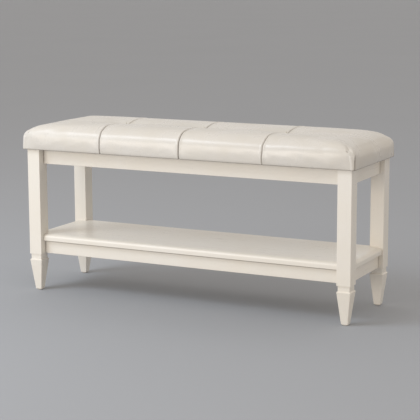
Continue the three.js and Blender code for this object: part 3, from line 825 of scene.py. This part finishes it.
def close_underside(piece):
    """Turns the leather in under the board and closes the recess that the dust cover lies in."""
    inner_x, inner_y = DUST_HIGH.x + TURN_IN_MARGIN, DUST_HIGH.y + TURN_IN_MARGIN
    activate(piece)
    bpy.ops.object.mode_set(mode="EDIT")
    bpy.ops.mesh.select_mode(type="EDGE")
    mesh = bmesh.from_edit_mesh(piece.data)
    shade = mesh.verts.layers.float["seam_shade"]
    bpy.ops.mesh.select_all(action="DESELECT")
    for edge in mesh.edges:
        edge.select_set(edge.is_boundary)
    bmesh.update_edit_mesh(piece.data)
    for turn_in in (0.0015, 1.0):
        bpy.ops.mesh.extrude_edges_move()
        for vert in (v for v in mesh.verts if v.select):
            reach_x = max(inner_x, abs(vert.co.x) - turn_in)
            reach_y = max(inner_y, abs(vert.co.y) - turn_in)
            vert.co.x = min(max(vert.co.x, -reach_x), reach_x)
            vert.co.y = min(max(vert.co.y, -reach_y), reach_y)
            vert.co.z = SEAT_BOTTOM
            vert[shade] = 0
    bmesh.update_edit_mesh(piece.data)
    bpy.ops.mesh.extrude_edges_move(
        TRANSFORM_OT_translate={"value": (0, 0, DUST_HIGH.z + 0.0002 - SEAT_BOTTOM)})
    bpy.ops.mesh.edge_face_add()
    bpy.ops.mesh.select_all(action="SELECT")
    bpy.ops.mesh.remove_doubles(threshold=1e-6)
    bpy.ops.mesh.normals_make_consistent(inside=False)
    bpy.ops.object.mode_set(mode="OBJECT")


class BENCH_OT_make_seat(bpy.types.Operator):
    """Make the tufted leather seat"""
    bl_idname = "bench.make_seat"
    bl_label = "Make the seat"

    def execute(self, context):
        settings = context.scene.bench_seat
        piece = seat_grid()
        box = seat_form(piece, settings)
        blow_up = swell
        blow_up(piece, box, settings)
        for axis, label in enumerate("xyz"):
            store(piece, f"box_{label}", box[:, axis])
        finer = piece.modifiers.new("finer", "SUBSURF")
        finer.levels = finer.render_levels = 1
        finer.boundary_smooth = "PRESERVE_CORNERS"
        activate(piece)
        bpy.ops.object.modifier_apply(modifier="finer")
        refine(piece)
        sew(piece, settings)
        for label in "xyz":
            piece.data.attributes.remove(piece.data.attributes[f"box_{label}"])
        close_underside(piece)
        activate(piece)
        bpy.ops.object.shade_smooth_by_angle(angle=math.radians(50))
        piece.data.materials.append(bpy.data.materials["seat_leather"])
        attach(piece, "root")
        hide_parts("seat_cover", "seat_foam")
        return {"FINISHED"}


class BENCH_OT_make_staples(bpy.types.Operator):
    """Make the staples that hold the leather under the board"""
    bl_idname = "bench.make_staples"
    bl_label = "Make the staples"

    def execute(self, context):
        spacing, inset = 0.032, 0.010
        line_x, line_y = DUST_HIGH.x + TURN_IN_MARGIN + inset, DUST_HIGH.y + TURN_IN_MARGIN + inset
        crown, wire, drop = 0.010, 0.0011, 0.00045
        legs = [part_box(name) for name in nodes_named("leg_")]
        places = []
        for half, line, turned in ((line_x, line_y, False), (line_y, line_x, True)):
            count = int(2 * half / spacing)
            for i in range(count + 1):
                run = (i - count / 2) * spacing
                for side in (-line, line):
                    places.append((side, run, turned) if turned else (run, side, turned))
        first = add_box("cover_staples", (-crown / 2, -wire / 2, -drop), (crown / 2, wire / 2, drop))
        bpy.ops.object.mode_set(mode="EDIT")
        bpy.ops.mesh.select_all(action="SELECT")
        bpy.ops.mesh.bevel(offset=drop * 0.7, segments=2)
        bpy.ops.object.mode_set(mode="OBJECT")
        template = first.data.copy()
        copies = []
        for x, y, turned in places:
            under_leg = any(
                low.x - crown < x < high.x + crown and low.y - crown < y < high.y + crown
                for low, high in legs)
            if under_leg:
                continue
            mesh = template.copy()
            copy = bpy.data.objects.new("staple", mesh)
            context.scene.collection.objects.link(copy)
            copy.location = (x, y, SEAT_BOTTOM - drop * 0.6)
            copy.rotation_euler.z = math.pi / 2 if turned else 0
            copies.append(copy)
        deselect_all()
        bpy.data.objects.remove(first)
        for copy in copies:
            copy.select_set(True)
        context.view_layer.objects.active = copies[0]
        bpy.ops.object.transform_apply(location=True, rotation=True, scale=True)
        bpy.ops.object.join()
        piece = context.object
        piece.name = piece.data.name = "cover_staples"
        piece.data.materials.append(plated_material("staple_steel", (0.60, 0.60, 0.58)))
        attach(piece, "root")
        return {"FINISHED"}


class BENCH_OT_paint_frame(bpy.types.Operator):
    """Paint the legs, aprons, rails and shelf"""
    bl_idname = "bench.paint_frame"
    bl_label = "Paint the frame"

    def execute(self, context):
        colour = tuple(context.scene.bench_finish.paint)
        along_x, along_y, along_z = (0.12, 1.0, 1.0), (1.0, 0.12, 1.0), (1.0, 1.0, 0.12)
        long_joint, end_joint = {"X": LEG_LOW.x}, {"Y": LEG_LOW.y}
        # a painted shade line along the rails' tops, just under the shelf's overhang
        under_shelf = {"Z": RAIL_TOP - 0.0012}
        finishes = {
            ("leg_",): (along_z, None),
            ("shelf_panel",): (along_x, None),
            ("apron_front", "apron_back"): (along_x, long_joint),
            ("apron_left", "apron_right"): (along_y, end_joint),
            ("lower_rail_front", "lower_rail_back"): (along_x, long_joint | under_shelf),
            ("lower_rail_left", "lower_rail_right"): (along_y, end_joint | under_shelf),
        }
        for names, (drag, joints) in finishes.items():
            paint = paint_material(f"paint_{names[0]}".rstrip("_"), drag, colour, joints)
            for name in nodes_named(*names):
                finish_node(name, paint)
        return {"FINISHED"}


class BENCH_OT_finish_hidden_parts(bpy.types.Operator):
    """Finish the timber, board, cloth, nylon and steel parts that the frame hides"""
    bl_idname = "bench.finish_hidden_parts"
    bl_label = "Finish the hidden parts"

    def execute(self, context):
        timber = tuple(context.scene.bench_finish.timber)
        beech_x = timber_material("beech_along_x", (0.08, 1.0, 1.0), timber)
        beech_y = timber_material("beech_along_y", (1.0, 0.08, 1.0), timber)
        finishes = {
            ("corner_block_", "shelf_cleat_"): beech_x,
            ("seat_cross_rail_",): beech_y,
            ("seat_board",): plywood_material(),
            ("dust_cover",): woven_material("black_cambric", (0.028, 0.027, 0.026), 1100.0, 0.95),
            ("tuft_cord_",): woven_material("tufting_twine", (0.70, 0.66, 0.56), 1400.0, 0.85),
            ("glide_",): moulded_material("glide_nylon", (0.62, 0.58, 0.52), 0.42),
            ("tuft_washer_",): plated_material("washer_zinc", (0.58, 0.58, 0.56)),
            ("block_screw_", "seat_screw_", "cross_rail_screw_", "cleat_screw_", "shelf_screw_"):
                plated_material("screw_yellow_zinc", (0.62, 0.50, 0.26)),
            ("seat_foam",): moulded_material("foam", (0.80, 0.72, 0.48), 0.95),
            ("seat_cover",): leather_material(context.scene.bench_finish.leather),
        }
        for starts, material in finishes.items():
            for name in nodes_named(*starts):
                finish_node(name, material)
        return {"FINISHED"}


# ---- Stage ----
def area_light(name, place, target, size, power, colour):
    data = bpy.data.lights.new(name, "AREA")
    data.shape = "RECTANGLE"
    data.size, data.size_y = size
    data.energy = power
    data.color = colour
    light = bpy.data.objects.new(name, data)
    light.location = place
    light.rotation_euler = (Vector(target) - Vector(place)).to_track_quat("-Z", "Y").to_euler()
    bpy.context.scene.collection.objects.link(light)


class BENCH_OT_set_stage(bpy.types.Operator):
    """Set the floor, lights and camera"""
    bl_idname = "bench.set_stage"
    bl_label = "Set the stage"

    def execute(self, context):
        settings = context.scene.bench_stage
        deselect_all()
        bpy.ops.mesh.primitive_plane_add(size=160)
        floor = context.object
        floor.name = "floor"
        material, tree, shader, place = new_material("floor_matt")
        noise = add_noise(tree, place, 0.8, 2.0)
        tone = remap(tree, noise.outputs["Fac"], 0.3, 0.7)
        colour = settings.floor
        base = mix_colour(tree, tone, rgba(colour), rgba(colour, 0.985))
        feed(tree, shader, {"Base Color": base, "Roughness": 0.85, "Specular IOR Level": 0.2})
        floor.data.materials.append(material)
        world = bpy.data.worlds.new("studio")
        world.use_nodes = True
        world.node_tree.nodes["Background"].inputs[0].default_value = (1.0, 0.95, 0.89, 1)
        world.node_tree.nodes["Background"].inputs[1].default_value = settings.room_light
        context.scene.world = world
        middle = (0, 0, SEAT_BOTTOM * 0.7)
        lights = (
            ("front_light", (-1.6, -4.5, 0.98), (3.0, 1.2), settings.front_power, (1.0, 0.92, 0.82)),
            ("side_light", (-2.1, -1.9, 1.5), (1.2, 1.2), settings.side_power, (0.80, 0.91, 1.0)),
            ("warm_light", (3.4, -0.6, 1.0), (1.6, 1.6), settings.warm_power, (1.0, 0.72, 0.38)),
            ("over_light", (-1.9, -2.2, 3.2), (1.6, 1.2), settings.over_power, (0.82, 0.90, 1.0)),
        )
        for name, spot, size, power, tint in lights:
            area_light(name, spot, middle, size, power, tint)
        camera_data = bpy.data.cameras.new("camera")
        camera_data.lens = settings.lens
        camera_data.clip_end = 200
        camera = bpy.data.objects.new("camera", camera_data)
        context.scene.collection.objects.link(camera)
        # it stands in front, well to the right, and looks a little down on the seat
        camera.location = (1.8778, -3.6998, 0.9996)
        down, turn, lean = math.radians(10.038), math.radians(26.65), math.radians(0.2)
        camera.rotation_mode = "XYZ"
        camera.rotation_euler = (math.pi / 2 - down, lean, turn)
        context.scene.camera = camera
        context.scene.view_settings.view_transform = "Standard"
        return {"FINISHED"}


class BENCH_PT_sidebar(bpy.types.Panel):
    """Lists the steps that make the bench"""
    bl_label = "Piano bench"
    bl_idname = "BENCH_PT_sidebar"
    bl_space_type = "VIEW_3D"
    bl_region_type = "UI"
    bl_category = "Bench"

    def draw(self, context):
        for operator in OPERATORS:
            self.layout.operator(operator.bl_idname)
        for settings in (getattr(context.scene, name) for name in SETTINGS):
            for name in settings.__annotations__:
                self.layout.prop(settings, name)


OPERATORS = (
    BENCH_OT_paint_frame,
    BENCH_OT_finish_hidden_parts,
    BENCH_OT_make_seat,
    BENCH_OT_make_staples,
    BENCH_OT_set_stage,
)
SETTINGS = {
    "bench_seat": BenchSeatSettings,
    "bench_finish": BenchFinishSettings,
    "bench_stage": BenchStageSettings,
}


def register():
    for cls in (*SETTINGS.values(), *OPERATORS, BENCH_PT_sidebar):
        bpy.utils.register_class(cls)
    for name, cls in SETTINGS.items():
        setattr(bpy.types.Scene, name, bpy.props.PointerProperty(type=cls))


def unregister():
    for name in SETTINGS:
        delattr(bpy.types.Scene, name)
    for cls in reversed((*SETTINGS.values(), *OPERATORS, BENCH_PT_sidebar)):
        bpy.utils.unregister_class(cls)


def main():
    register()
    build_groups()
    for operator in OPERATORS:
        group, name = operator.bl_idname.split(".")
        getattr(getattr(bpy.ops, group), name)()


if __name__ == "__main__":
    main()
